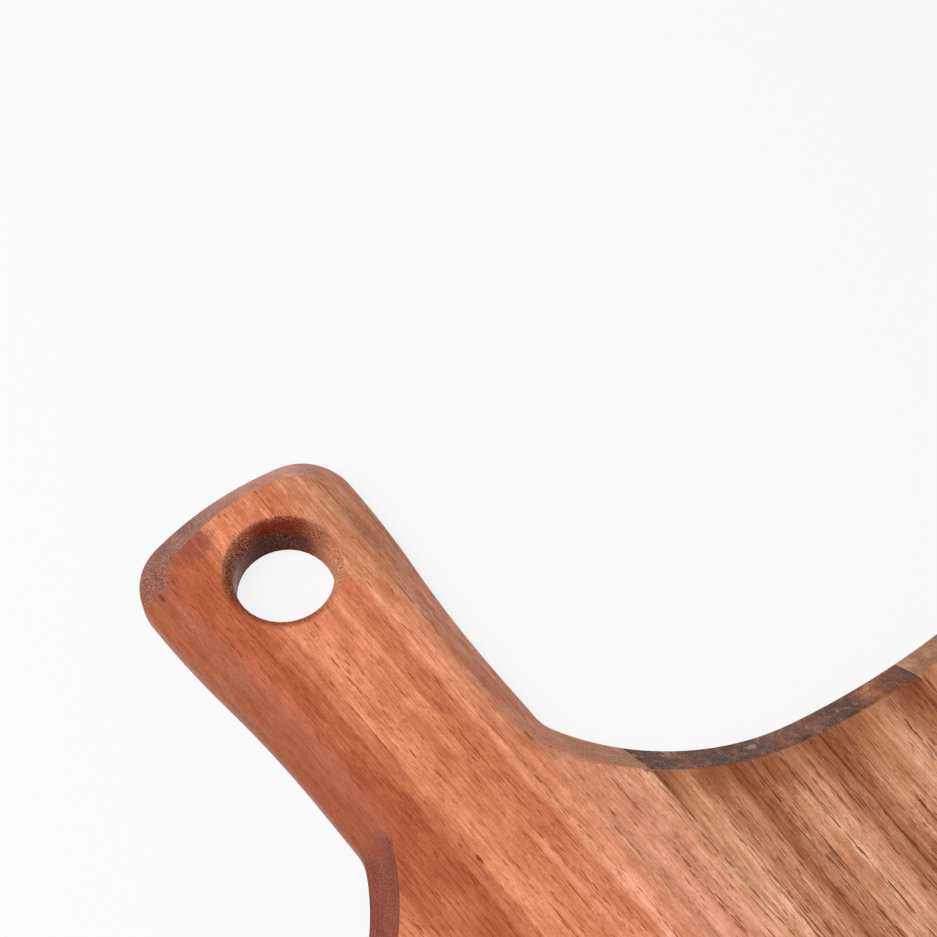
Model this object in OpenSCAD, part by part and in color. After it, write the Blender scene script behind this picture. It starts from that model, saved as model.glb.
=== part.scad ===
// Paddle charcuterie board: hardwood staves glued edge to edge. The middle stave runs on past the
// shoulders as the handle, and has a hanging hole near its tip.
// +Y points along the handle to its tip, +Z is up, and the origin is under the middle of the board.
// The outline is a chain of tangent arcs, walked from the middle of the handle's tip down the right side
// to the middle of the base. The left side is its mirror image. A wide bevel runs round the top edge.

/* [Board] */
// Overall length, from the handle's tip to the base
board_l = 500; // [400:5:640]
// Thickness
board_t = 12; // [10:0.5:20]

/* [Staves] */
// Width of the middle stave, which carries the handle
middle_stave_w = 79; // [70:1:100]
// Width of each stave next to the middle one
side_stave_w = 69.2; // [50:0.1:90]
// Width of each outermost stave
outer_stave_w = 40.9; // [36:0.1:70]
// Thickness of the cured glue line between two staves
glue_t = 0.2; // [0.1:0.05:0.4]

/* [Handle] */
// Width of the handle at its narrowest, the neck
neck_w = 56.8; // [48:0.2:64]
// How far each side of the handle swells from the neck to the tip
flare = 3.9; // [1:0.1:7]
// Length over which each side swells
taper_l = 68.5; // [50:0.5:100]
// Share of the swelling length that curves outwards, nearest the tip
swell_share = 0.45; // [0.3:0.05:0.7]
// Length of the straight neck below the swelling
neck_l = 14.9; // [4:0.1:40]
// Radius of the low dome across the tip
tip_dome_r = 93; // [60:1:200]
// Radius of the tip's two corners
tip_corner_r = 16.2; // [12:0.1:22]

/* [Shoulders] */
// Radius of the tight curve where the neck leaves the handle
neck_r = 12.9; // [8:0.1:30]
// Angle that the tight curve turns through
neck_turn = 27.3; // [15:0.1:40]
// Radius of the long sweep from the neck to the shoulder
sweep_r = 69.2; // [40:0.1:90]
// Angle that the long sweep turns through
sweep_turn = 51.4; // [35:0.1:54]
// Radius of the almost straight shoulder
shoulder_r = 238; // [160:1:400]
// Radius of the corners between the shoulders and the long sides
shoulder_corner_r = 28; // [16:1:40]
// Radius of the two corners at the base
base_corner_r = 28; // [16:1:60]

/* [Edge] */
// Width of the bevel, seen from above
bevel_run = 7.5; // [2:0.5:10]
// Height of the bevel, measured down from the top face
bevel_drop = 6; // [2:0.5:8]
// Radius of the eased lower edge
ease_r = 1; // [0.4:0.1:1.8]

/* [Hanging hole] */
// Diameter of the hole
hole_d = 26; // [16:0.5:32]
// Distance from the hole's centre to the handle's tip
hole_tip_d = 31.5; // [28:0.5:40]
// How far the hole is drilled to the right of the handle's centre line
hole_off = 1; // [-2:0.5:2]
// Radius that rounds the hole's upper rim
rim_r = 3.8; // [1:0.1:5]

/* [Hidden] */
// Largest distance between a true arc and the straight chords that stand for it
chord_gap = 0.04;
// Number of chords across the quarter round of the eased lower edge
ease_steps = 2;
// How far a cut runs past the surface that it opens
overrun = 2;
// Smoothness of the hole
$fn = 96;

middle_half_w = middle_stave_w / 2;
inner_glue_x = middle_half_w;
side_stave_x = inner_glue_x + glue_t;
outer_glue_x = side_stave_x + side_stave_w;
outer_stave_x = outer_glue_x + glue_t;
half_w = outer_stave_x + outer_stave_w;

tip_y = board_l / 2;
base_y = -board_l / 2;
hole_y = tip_y - hole_tip_d;

// The tip: the dome turns until its arc meets the corner's arc tangentially
neck_half_w = neck_w / 2;
tip_half_w = neck_half_w + flare;
dome_turn = asin((tip_half_w - tip_corner_r) / (tip_dome_r - tip_corner_r));

// The swelling side: two opposite arcs that move across by the flare over the taper's length
taper_turn = 2 * atan(flare / taper_l);
taper_r = taper_l / sin(taper_turn);
swell_r = taper_r * swell_share;
waist_r = taper_r - swell_r;

// The shoulder arc ends where it meets the corner's arc tangentially, at this slope below square
shoulder_slope = 90 - neck_turn - sweep_turn;
sweep_end_x = neck_half_w + neck_r * (1 - cos(neck_turn)) + sweep_r * (cos(neck_turn) - sin(shoulder_slope));
corner_x = half_w - shoulder_corner_r;
corner_slope = asin((sweep_end_x + shoulder_r * sin(shoulder_slope) - corner_x)
    / (shoulder_r + shoulder_corner_r));

// Heights of the joints between the outline's stretches
neck_top_y = tip_y - tip_dome_r * (1 - cos(dome_turn)) - tip_corner_r * cos(dome_turn) - taper_l;
neck_end_y = neck_top_y - neck_l;
sweep_end_y = neck_end_y - neck_r * sin(neck_turn) - sweep_r * (cos(shoulder_slope) - sin(neck_turn));
shoulder_end_y = sweep_end_y - shoulder_r * (cos(corner_slope) - cos(shoulder_slope));
side_top_y = shoulder_end_y - shoulder_corner_r * cos(corner_slope);

// The right side of the outline. An arc is [radius, turn], with turns to the right positive, and a
// straight stretch is [length].
OUTLINE = [
    [tip_dome_r, dome_turn],
    [tip_corner_r, 90 - dome_turn],
    [swell_r, taper_turn],
    [waist_r, -taper_turn],
    [neck_l],
    [neck_r, -neck_turn],
    [sweep_r, -sweep_turn],
    [shoulder_r, corner_slope - shoulder_slope],
    [shoulder_corner_r, 90 - corner_slope],
    [side_top_y - base_y - base_corner_r],
    [base_corner_r, 90],
];

// The edge from the underside to the top face, as pairs of inset and height
EDGE = concat(
    [for (k = [0 : ease_steps]) let (a = 90 * k / ease_steps) [ease_r * (1 - sin(a)), ease_r * (1 - cos(a))]],
    [[0, board_t - bevel_drop], [bevel_run, board_t]]
);

// Unit vectors along a heading and to its left
function ahead(a) = [cos(a), sin(a)];
function to_left(a) = [-sin(a), cos(a)];

// Number of chords that stand for an outline stretch
function chords(e) = len(e) == 1 ? 1 : ceil(abs(e[1]) / (2 * acos(1 - chord_gap / e[0])));

// A point on an outline stretch that starts at p with heading a, at share s of it, with arcs drawn inset
function along(p, a, e, inset, s) =
    len(e) == 1 ? p + s * e[0] * ahead(a)
    : let (side = sign(e[1]), r = side * e[0] - inset) p + r * (to_left(a - s * e[1]) - to_left(a));

// All the points of the stretches from number i on
function walk(p, a, inset, i = 0) =
    i == len(OUTLINE) ? [p]
    : let (e = OUTLINE[i], n = chords(e), turn = len(e) == 1 ? 0 : e[1])
        concat(
            [for (k = [0 : n - 1]) along(p, a, e, inset, k / n)],
            walk(along(p, a, e, inset, 1), a - turn, inset, i + 1)
        );

// The whole outline at an inset, clockwise seen from above
function ring(inset) =
    let (right = walk([0, tip_y - inset], 0, inset))
        concat(right, [for (k = [len(right) - 1 : -1 : 1]) [-right[k][0], right[k][1]]]);

// The glued-up board before drilling: rings of the outline lofted up the edge, with the underside and the
// top face closed by triangles that meet in the middle of the body
module board() {
    outlines = [for (e = EDGE) ring(e[0])];
    n = len(outlines[0]);
    top = len(EDGE) - 1;
    lower_hub = n * len(EDGE);
    upper_hub = lower_hub + 1;
    hub_y = (base_y + neck_end_y) / 2;
    points = concat(
        [for (j = [0 : top]) for (p = outlines[j]) [p[0], p[1], EDGE[j][1]]],
        [[0, hub_y, 0], [0, hub_y, board_t]]
    );
    faces = [
        for (k = [0 : n - 1])
        let (next = (k + 1) % n)
        each concat(
            [for (j = [0 : top - 1]) each [
                [j * n + k, j * n + next, (j + 1) * n + next],
                [j * n + k, (j + 1) * n + next, (j + 1) * n + k]
            ]],
            [[next, k, lower_hub], [top * n + k, top * n + next, upper_hub]]
        )
    ];
    polyhedron(points, faces, convexity = 6);
}

// A length of stock below the handle, between two distances from the centre line
module strip(x0, x1) {
    translate([x0, base_y - overrun, -overrun])
        cube([x1 - x0, neck_end_y - base_y + overrun, board_t + 2 * overrun]);
}

// Sets a right-hand piece on either side
module on_side(hand) {
    if (hand == "left") mirror([1, 0, 0]) children();
    else children();
}

// The hole's bore and the round-over of its upper rim
module hole_cut() {
    bore_r = hole_d / 2;
    translate([hole_off, hole_y, 0]) {
        translate([0, 0, -overrun]) cylinder(r = bore_r, h = board_t + 2 * overrun);
        rotate_extrude()
            translate([bore_r - overrun, board_t - rim_r])
                difference() {
                    square([rim_r + overrun, rim_r + overrun]);
                    translate([rim_r + overrun, 0]) circle(r = rim_r);
                }
    }
}

module middle_stave() {
    color([0.74, 0.43, 0.31])
        difference() {
            board();
            for (hand = ["right", "left"])
                on_side(hand) strip(middle_half_w, half_w + overrun);
            hole_cut();
        }
}

module side_stave(hand, tone) {
    color(tone)
        intersection() {
            board();
            on_side(hand) strip(side_stave_x, outer_glue_x);
        }
}

module outer_stave(hand, tone) {
    color(tone)
        intersection() {
            board();
            on_side(hand) strip(outer_stave_x, half_w + overrun);
        }
}

module glue_line(hand, x) {
    color([0.33, 0.22, 0.16])
        intersection() {
            board();
            on_side(hand) strip(x, x + glue_t);
        }
}

middle_stave();
side_stave("right", [0.64, 0.44, 0.31]);  // right_side_stave
side_stave("left", [0.60, 0.37, 0.26]);  // left_side_stave
outer_stave("right", [0.72, 0.50, 0.38]);  // right_outer_stave
outer_stave("left", [0.69, 0.46, 0.34]);  // left_outer_stave
glue_line("right", inner_glue_x);  // right_inner_glue_line
glue_line("left", inner_glue_x);  // left_inner_glue_line
glue_line("right", outer_glue_x);  // right_outer_glue_line
glue_line("left", outer_glue_x);  // left_outer_glue_line
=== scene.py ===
"""Paddle charcuterie board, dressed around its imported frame.

Each stave is a closed shell of numpy grids: the shaped edge, the two flat faces, the glued sides and the
hanging hole. Its wood is worked out in three dimensions, so that long grain, end grain and pores run on from
face to face. Lengths are in metres, +Y points along the handle to its tip, and +Z is up.
"""

import math

import bmesh
import bpy
import numpy as np
from mathutils import Matrix, Vector


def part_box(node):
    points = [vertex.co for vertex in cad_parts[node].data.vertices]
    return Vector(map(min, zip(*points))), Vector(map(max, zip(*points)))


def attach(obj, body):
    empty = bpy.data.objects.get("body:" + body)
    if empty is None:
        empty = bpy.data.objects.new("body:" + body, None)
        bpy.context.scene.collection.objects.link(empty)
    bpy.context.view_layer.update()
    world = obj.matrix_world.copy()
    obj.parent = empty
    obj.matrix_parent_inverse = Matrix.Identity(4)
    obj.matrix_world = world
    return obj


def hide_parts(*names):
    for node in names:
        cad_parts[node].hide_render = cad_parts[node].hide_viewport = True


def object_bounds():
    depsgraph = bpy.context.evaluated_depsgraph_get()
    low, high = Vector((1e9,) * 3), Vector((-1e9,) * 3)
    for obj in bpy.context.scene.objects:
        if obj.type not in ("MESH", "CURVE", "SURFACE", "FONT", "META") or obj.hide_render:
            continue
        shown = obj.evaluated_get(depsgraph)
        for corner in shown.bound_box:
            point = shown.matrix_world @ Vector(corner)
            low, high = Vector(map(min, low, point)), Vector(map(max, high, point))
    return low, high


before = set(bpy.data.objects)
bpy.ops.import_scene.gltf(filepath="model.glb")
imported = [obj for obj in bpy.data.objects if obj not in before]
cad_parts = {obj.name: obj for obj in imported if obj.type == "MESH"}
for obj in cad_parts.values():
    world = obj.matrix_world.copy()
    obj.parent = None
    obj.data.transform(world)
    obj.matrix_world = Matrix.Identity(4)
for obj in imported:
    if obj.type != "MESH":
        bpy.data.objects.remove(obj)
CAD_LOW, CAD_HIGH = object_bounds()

bl_info = {
    "name": "Paddle charcuterie board",
    "version": (1, 0, 0),
    "blender": (4, 5, 0),
    "location": "3D View > Sidebar > Board",
    "description": "Builds a paddle board of glued hardwood staves, with its wood, floor, light and camera",
    "category": "Object",
}

BODY = "root"
MM = 0.001

# The curve of display colours: where its straight part ends and how steep it is, and the offset and the
# power of the rest
SRGB_KNEE = 0.04045
SRGB_SLOPE = 12.92
SRGB_OFFSET = 0.055
SRGB_POWER = 2.4


def number(name, description, default, **limits):
    """A number, with its limits, unit or subtype."""
    return bpy.props.FloatProperty(name=name, description=description, default=default, **limits)


def length(name, default, description):
    """A length in metres."""
    return number(name, description, default, min=0.0, unit="LENGTH", precision=5)


def angle(name, degrees, description):
    """An angle, given here in degrees."""
    return number(name, description, math.radians(degrees), subtype="ANGLE")


def share(name, default, description):
    """A share from 0 to 1."""
    return number(name, description, default, min=0.0, max=1.0, subtype="FACTOR")


def level(name, default, description):
    """A plain number from 0 up."""
    return number(name, description, default, min=0.0)


def tone(name, red, green, blue, description):
    """A colour, given as an eight-bit display colour and kept as linear light."""
    shown = np.array([red, green, blue]) / 255
    curved = ((shown + SRGB_OFFSET) / (1 + SRGB_OFFSET)) ** SRGB_POWER
    light = np.where(shown > SRGB_KNEE, curved, shown / SRGB_SLOPE)
    return bpy.props.FloatVectorProperty(
        name=name, description=description, default=light.tolist(), min=0.0, max=1.0, subtype="COLOR"
    )


def point(name, default, description):
    """A point in metres."""
    return bpy.props.FloatVectorProperty(
        name=name, description=description, default=default, subtype="XYZ", unit="LENGTH", precision=5
    )


class BoardSizes(bpy.types.PropertyGroup):
    """Sizes of the board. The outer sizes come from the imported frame."""

    thickness: length("Thickness", CAD_HIGH.z, "Thickness of the board")
    tip_y: length("Tip", CAD_HIGH.y, "Distance from the middle of the board to the handle's tip")
    base_y: length("Base", -CAD_LOW.y, "Distance from the middle of the board to its base")
    half_width: length("Half width", CAD_HIGH.x, "Half the width of the board")
    neck_width: length("Neck width", 0.0568, "Width of the handle at its narrowest")
    flare: length("Flare", 0.0039, "How far each side of the handle swells from the neck to the tip")
    taper_length: length("Taper length", 0.0685, "Length over which each side of the handle swells")
    swell_share: share("Swell share", 0.45, "Share of the taper that curves outwards, nearest the tip")
    neck_length: length("Neck length", 0.0149, "Length of the straight neck")
    tip_dome_radius: length("Tip dome radius", 0.093, "Radius of the low dome across the tip")
    tip_corner_radius: length("Tip corner radius", 0.0162, "Radius of the tip's two corners")
    neck_radius: length("Neck radius", 0.0129, "Radius of the tight curve where the neck leaves the handle")
    neck_turn: angle("Neck turn", 27.3, "Angle that the tight curve turns through")
    sweep_radius: length("Sweep radius", 0.0692, "Radius of the long sweep to the shoulder")
    sweep_turn: angle("Sweep turn", 51.4, "Angle that the long sweep turns through")
    shoulder_radius: length("Shoulder radius", 0.238, "Radius of the almost straight shoulder")
    shoulder_corner_radius: length("Shoulder corner radius", 0.028, "Radius of the shoulders' corners")
    base_corner_radius: length("Base corner radius", 0.028, "Radius of the base's corners")
    bevel_run: length("Bevel run", 0.0075, "Width of the bevel, seen from above")
    bevel_drop: length("Bevel drop", 0.006, "Height of the bevel")
    tip_slim: share("Tip slim", 0.13, "Share by which the bevel is slimmer across the tip")
    slim_left: length("Slim, left", 0.02, "Distance from the tip's middle where the left bevel is full")
    slim_right: length("Slim, right", 0.027, "The same for the right bevel")
    ease_radius: length("Ease radius", 0.001, "Radius of the eased lower edge")
    crisp_radius: length("Crisp arris", 0.0005, "Radius of the bevel's arrises across the grain")
    soft_top_radius: length("Soft upper arris", 0.011, "Radius of the bevel's upper arris along the grain")
    soft_side_radius: length("Soft lower arris", 0.003, "Radius of the bevel's lower arris along the grain")
    right_soft_from: share("Soft from, right", 0.6, "Sideways part of the normal above which arrises soften")
    left_soft_from: share("Soft from, left", 0.92, "The same for the handle's left side")
    left_soft_over: length("Soft over, left", 0.022, "Length over which the left side softens")
    worn_radius: length("Worn arris", 0.004, "Radius of the bevel's upper arris far out on the shoulders")
    worn_from: length("Worn from", 0.06, "Distance from the centre line where wear starts")
    worn_to: length("Worn to", 0.085, "Distance from the centre line where wear is full")
    hole_diameter: length("Hole diameter", 0.026, "Diameter of the hanging hole")
    hole_from_tip: length("Hole from tip", 0.0315, "Distance from the hole's centre to the tip")
    hole_offset: length("Hole offset", 0.001, "How far the hole lies to the right of the centre line")
    rim_radius: length("Rim radius", 0.0031, "Radius that rounds the hole's upper rim")
    rim_shift: point("Rim shift", (0.0005, 0.0009, 0.0), "How far the rounded rim lies off the hole's centre")
    rim_break: angle("Rim break", 20, "Slope at which the hole's rim leaves the top face")
    hole_ease: length("Hole ease", 0.0004, "Radius that eases the hole's lower rim")


class WoodTones(bpy.types.PropertyGroup):
    """Colours of the staves' wood."""

    peach: tone("Peach", 224, 137, 95, "Lightest streaks of the middle stave")
    petal: tone("Petal", 223, 149, 117, "Pale bands on the middle stave's right")
    cream: tone("Cream", 238, 165, 133, "Palest line down the middle stave")
    shell: tone("Shell", 223, 145, 110, "Pale line on the middle stave's right side")
    blush: tone("Blush", 219, 140, 105, "Pale pink-brown wood on the middle stave's right side")
    salmon: tone("Salmon", 216, 127, 88, "Plain wood of the middle stave")
    russet: tone("Russet", 204, 118, 81, "Redder wood of the middle stave")
    brick: tone("Brick", 180, 93, 59, "Dark red wood on the middle stave's left side")
    tan: tone("Tan", 209, 139, 107, "Browner wood on the middle stave's right side")
    madder: tone("Madder", 157, 82, 49, "Oil-darkened wood on the handle's left edge")
    olive: tone("Olive", 160, 104, 70, "Oil-darkened wood on the handle's right edge")
    blood: tone("Blood", 158, 82, 62, "Stain in the wood near the handle's tip")
    vein: tone("Vein", 147, 65, 27, "Open pores of the middle stave")
    honey: tone("Honey", 209, 150, 113, "Lightest streaks of the brown staves")
    nut: tone("Nut", 188, 125, 88, "Plain wood of the brown staves")
    bark: tone("Bark", 169, 109, 74, "Darker wood of the brown staves")
    cocoa: tone("Cocoa", 150, 88, 52, "Dark streaks of the brown staves")
    pore: tone("Pore", 102, 43, 14, "Open pores of the brown staves")
    mauve: tone("Mauve", 124, 58, 43, "Red end grain")
    ash: tone("Ash", 130, 75, 60, "Greyer end grain at the tip")
    rose: tone("Rose", 186, 122, 101, "Pink end grain at the tip")
    fawn: tone("Fawn", 182, 127, 94, "Pale end grain")
    slate: tone("Slate", 80, 51, 39, "Dark end grain of the brown staves")
    rust: tone("Rust", 110, 62, 38, "Redder end grain of the brown staves")
    # Partly the dark of oil-soaked end grain and partly painted shade on the hole's far side, which faces
    # away from the lamp.
    umber_shade: tone("Umber", 114, 38, 18, "Oil-soaked wood in the hole")
    # Painted shade: the dark of the hole's wall deep down on its shaded side. The same tone also darkens
    # specks on the rim's far left.
    shade_and_dark_specks: tone("Pit", 80, 40, 26, "Darkest wood, deep in the hole")
    # Painted light and reflection: the pale, greyish tone of the hole's left wall, which mirrors the bright
    # floor.
    dust: tone("Dust", 235, 200, 186, "Dry, pale fibres on the hole's left wall")
    # Painted light: the paler tone of the hole's rim on its right, where the rim faces the lamp.
    worn: tone("Worn", 184, 118, 84, "Paler wood in the hole, where a hook rubs")
    glint: tone("Glint", 192, 156, 140, "Pale flecks of fibre in the end grain")
    glue: tone("Glue", 196, 142, 106, "Cured glue")


class WoodFinish(bpy.types.PropertyGroup):
    """How the oiled wood reflects light."""

    roughness: share("Roughness", 0.5, "Roughness of the oiled long grain")
    end_roughness: share("End grain roughness", 0.42, "Roughness of the end grain")
    specular: share("Specular", 0.2, "Strength of the oil's reflection")
    pore_depth: length("Pore depth", 0.00012, "How deep the pores lie")
    grain_lean: share("Grain lean", 0.1, "How far the grain leans to the left of the handle's line")


class StageSettings(bpy.types.PropertyGroup):
    """Floor, light and camera."""

    floor_tone: tone("Floor", 250, 250, 250, "Colour of the floor and of the background")
    floor_size: length("Floor size", 40.0, "Side of the square floor")
    shadow_share: share("Shadow share", 0.12, "Share of the shadow that the floor shows")
    sky_strength: level("Sky strength", 0.4, "Light that comes from all round")
    lamp_power: level("Lamp power", 20.0, "Power of the large soft lamp, in watts")
    lamp_size: length("Lamp size", 1.2, "Side of the large soft lamp")
    lamp_place: point("Lamp place", (-0.75, 0.55, 1.2), "Where the lamp hangs")
    lamp_aim: point("Lamp aim", (0.03, 0.12, 0.0), "Point that the lamp faces")
    camera_distance: length("Camera distance", 0.6474, "Distance from the camera to its aim")
    camera_elevation: angle("Camera elevation", 60.18, "Angle of the camera above the floor")
    camera_bearing: angle("Camera bearing", 36.9, "Angle from -Y to the camera, towards -X, seen from above")
    camera_roll: angle("Camera roll", -1.587, "Turn of the camera about its line of sight")
    camera_aim: point("Camera aim", (0.05773, 0.21298, 0.012), "Point in the middle of the picture")
    camera_lens: number("Camera lens", "Focal length in millimetres on a 36 mm sensor", 93.95, min=1.0)


# Outline and edge

# How finely the outline and the edge's profile are divided, how far the outermost rows lie in on the flat
# faces, and how close points are merged
ARC_STEP = math.radians(2.5)
RUN_STEP = 4 * MM
FINE_STEPS = 400
FILLET_STEPS = 7
EASE_STEPS = 4
SLOPE_STEPS = 3
SUPPORT = 0.4 * MM
MERGE = 0.001 * MM

# Marks count the outline's stretches from the middle of the tip
TIP_END_MARK = 2
NECK_MARK = 4
SWEEP_MARK = 6
SIDE_TOP_MARK = 9
SIDE_END_MARK = 10
LAST_MARK = 12
SHOULDER = (NECK_MARK, SIDE_TOP_MARK)
BASE = (SIDE_END_MARK, LAST_MARK)


def ahead(heading):
    """Unit vectors along headings."""
    return np.stack([np.cos(heading), np.sin(heading)], -1)


def to_left(heading):
    """Unit vectors to the left of headings."""
    return np.stack([-np.sin(heading), np.cos(heading)], -1)


def smooth_step(value, low, high):
    """0 below low, 1 above high, and 3t^2 - 2t^3 between them."""
    t = np.clip((value - low) / (high - low), 0, 1)
    return t * t * (3 - 2 * t)


def between(first, last, count):
    """A grid of evenly spaced points on the straight lines between two rows of points."""
    t = np.linspace(0, 1, count)[:, None, None]
    return first + t * (last - first)


def fillet(corner, slope, turn, steps):
    """Places and radius weights of a rounded corner in an edge profile.

    The profile reaches the corner on its way out and down at the given slope and turns further down. For a
    radius r, the fillet starts r tan(turn / 2) before the corner and goes on by r sin(a) along and
    r (1 - cos(a)) across.
    """
    a = np.linspace(0, turn, steps + 1)[:, None]
    along = np.array([-math.cos(slope), -math.sin(slope)])
    across = np.array([math.sin(slope), -math.cos(slope)])
    weights = (np.sin(a) - math.tan(turn / 2)) * along + (1 - np.cos(a)) * across
    return np.tile(corner, (steps + 1, 1)), weights


class Outline:
    """The right half of the outline, from the middle of the tip to the middle of the base, and its edge.

    The outline is a chain of tangent arcs and straight runs. A point on an arc is the arc's start plus its
    radius times the change of the unit vector to the left of the heading. A point of the edge is a point of
    the outline moved in along the normal by the inset of a row of the edge's profile, at that row's height.
    The handle's left side, which is mirrored later, has a softness and a slimness of its own.
    """

    def __init__(self, size, hand=1):
        self.size = size
        self.trace(self.stretches())
        if hand > 0:
            self.soft_from = size.right_soft_from
            self.soft_start = -size.left_soft_over
            self.slim = (size.slim_right / 2, size.slim_right)
        else:
            self.soft_from = size.left_soft_from
            self.soft_start = self.marks[TIP_END_MARK]
            self.slim = (0.0, size.slim_left)
        self.profile()

    def stretches(self):
        """Each stretch as radius and turn to the right, or as 0 and length, worked out from the named sizes.

        The side's length is left open, because it is what the others leave down to the base's corner.
        """
        size = self.size
        neck = size.neck_width / 2
        dome_reach = neck + size.flare - size.tip_corner_radius
        dome = math.asin(dome_reach / (size.tip_dome_radius - size.tip_corner_radius))
        taper = 2 * math.atan(size.flare / size.taper_length)
        taper_radius = size.taper_length / math.sin(taper)
        swell = taper_radius * size.swell_share
        slope = math.pi / 2 - size.neck_turn - size.sweep_turn
        sweep_x = neck + size.neck_radius * (1 - math.cos(size.neck_turn))
        sweep_x += size.sweep_radius * (math.cos(size.neck_turn) - math.sin(slope))
        corner_x = size.half_width - size.shoulder_corner_radius
        reach = sweep_x + size.shoulder_radius * math.sin(slope) - corner_x
        corner = math.asin(reach / (size.shoulder_radius + size.shoulder_corner_radius))
        return [
            (size.tip_dome_radius, dome),
            (size.tip_corner_radius, math.pi / 2 - dome),
            (swell, taper),
            (taper_radius - swell, -taper),
            (0, size.neck_length),
            (size.neck_radius, -size.neck_turn),
            (size.sweep_radius, -size.sweep_turn),
            (size.shoulder_radius, corner - slope),
            (size.shoulder_corner_radius, math.pi / 2 - corner),
            (0, None),
            (size.base_corner_radius, math.pi / 2),
            (0, size.half_width - size.base_corner_radius),
        ]

    def trace(self, stretches):
        """Fine points and outward normals of the whole outline against the distance along it."""
        size = self.size
        t = np.linspace(0, 1, FINE_STEPS)
        start = np.array([0.0, size.tip_y])
        heading = 0.0
        marks = [0.0]
        runs = []
        for radius, turn in stretches:
            if radius:
                headings = heading - t * turn
                span = abs(radius * turn)
                run = start + math.copysign(radius, turn) * (to_left(headings) - to_left(heading))
            else:
                headings = np.full(FINE_STEPS, heading)
                span = start[1] + size.base_y - size.base_corner_radius if turn is None else turn
                run = start + (t * span)[:, None] * ahead(heading)
            runs.append((run, to_left(headings), marks[-1] + t * span))
            marks.append(marks[-1] + span)
            start = run[-1]
            heading = headings[-1]
        self.spans = stretches
        self.marks = marks
        self.points, self.normals, self.distances = (np.concatenate(part) for part in zip(*runs))

    def profile(self):
        """Rows of the edge's profile from the top face to the underside.

        Each row is a fixed place (inset, height) and the parts that grow with the upper and the lower arris
        radius. on_bevel is the part of a row's inset that a slimmer bevel takes its share from.
        """
        size = self.size
        slope = math.atan2(size.bevel_drop, size.bevel_run)
        upper = np.array([size.bevel_run, size.thickness])
        lower = np.array([0.0, size.thickness - size.bevel_drop])
        reach = math.tan(slope / 2)
        drop_reach = math.tan((math.pi / 2 - slope) / 2)
        down = np.array([-math.cos(slope), -math.sin(slope)])
        zero = np.zeros((1, 2))
        blocks = [(upper[None] + [[SUPPORT, 0.0]], np.array([[reach, 0.0]]), zero)]
        place, weights = fillet(upper, 0.0, slope, FILLET_STEPS)
        blocks.append((place, weights, weights * 0))
        t = (np.arange(1, SLOPE_STEPS) / SLOPE_STEPS)[:, None]
        place = upper + t * (lower - upper)
        blocks.append((place, (1 - t) * reach * down, -t * drop_reach * down))
        place, weights = fillet(lower, slope, math.pi / 2 - slope, FILLET_STEPS)
        blocks.append((place, weights * 0, weights))
        place, weights = fillet(np.zeros(2), math.pi / 2, math.pi / 2, EASE_STEPS)
        blocks.append((place + size.ease_radius * weights, weights * 0, weights * 0))
        blocks.append((np.array([[size.ease_radius + SUPPORT, 0.0]]), zero, zero))
        self.fixed, self.by_upper, self.by_lower = (np.concatenate(part) for part in zip(*blocks))
        self.rows = len(self.fixed)
        self.on_bevel = np.where(self.fixed[:, 1] > lower[1], self.fixed[:, 0], 0.0)[:, None]

    def edge(self, distance):
        """Points of the shaped edge, for an array of distances with one line for each row of the profile.

        The arrises are crisp across the grain and grow softer as the edge turns along it. Far out on the
        shoulders the upper arris is worn, and across the tip the bevel is slimmer.
        """
        x, y = (np.interp(distance, self.distances, part) for part in self.points.T)
        nx, ny = (np.interp(distance, self.distances, part) for part in self.normals.T)
        size = self.size
        along_grain = smooth_step(nx, self.soft_from, 1.0)
        soft_end = self.soft_start + size.left_soft_over
        along_grain = along_grain * smooth_step(distance, self.soft_start, soft_end)
        wear = smooth_step(x, size.worn_from, size.worn_to)
        worn = size.crisp_radius + (size.worn_radius - size.crisp_radius) * wear
        upper = worn + (size.soft_top_radius - worn) * along_grain
        lower = size.crisp_radius + (size.soft_side_radius - size.crisp_radius) * along_grain
        inset, height = (
            self.fixed[:, k, None] + self.by_upper[:, k, None] * upper + self.by_lower[:, k, None] * lower
            for k in (0, 1)
        )
        inset = inset - self.on_bevel * size.tip_slim * (1 - smooth_step(distance, *self.slim))
        return np.stack([x - inset * nx, y - inset * ny, height], -1)

    def crossing(self, x, first, last):
        """For each row of the edge, the distance between two of the outline's marks at which it reaches x."""
        s = np.linspace(self.marks[first], self.marks[last], FINE_STEPS)
        reach = self.edge(np.broadcast_to(s, (self.rows, FINE_STEPS)))[..., 0]
        order = 1 if reach[0, -1] > reach[0, 0] else -1
        return np.array([np.interp(x, row[::order], s[::order]) for row in reach])

    def stations(self, first, last):
        """Distances from one of the outline's marks to another, closer together on tight arcs."""
        runs = [np.array([self.marks[first]])]
        for k in range(first, last):
            radius, turn = self.spans[k]
            span = self.marks[k + 1] - self.marks[k]
            count = math.ceil(max(span / RUN_STEP, abs(turn) / ARC_STEP if radius else 1))
            runs.append(np.linspace(self.marks[k], self.marks[k + 1], count + 1)[1:])
        return np.concatenate(runs)


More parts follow.
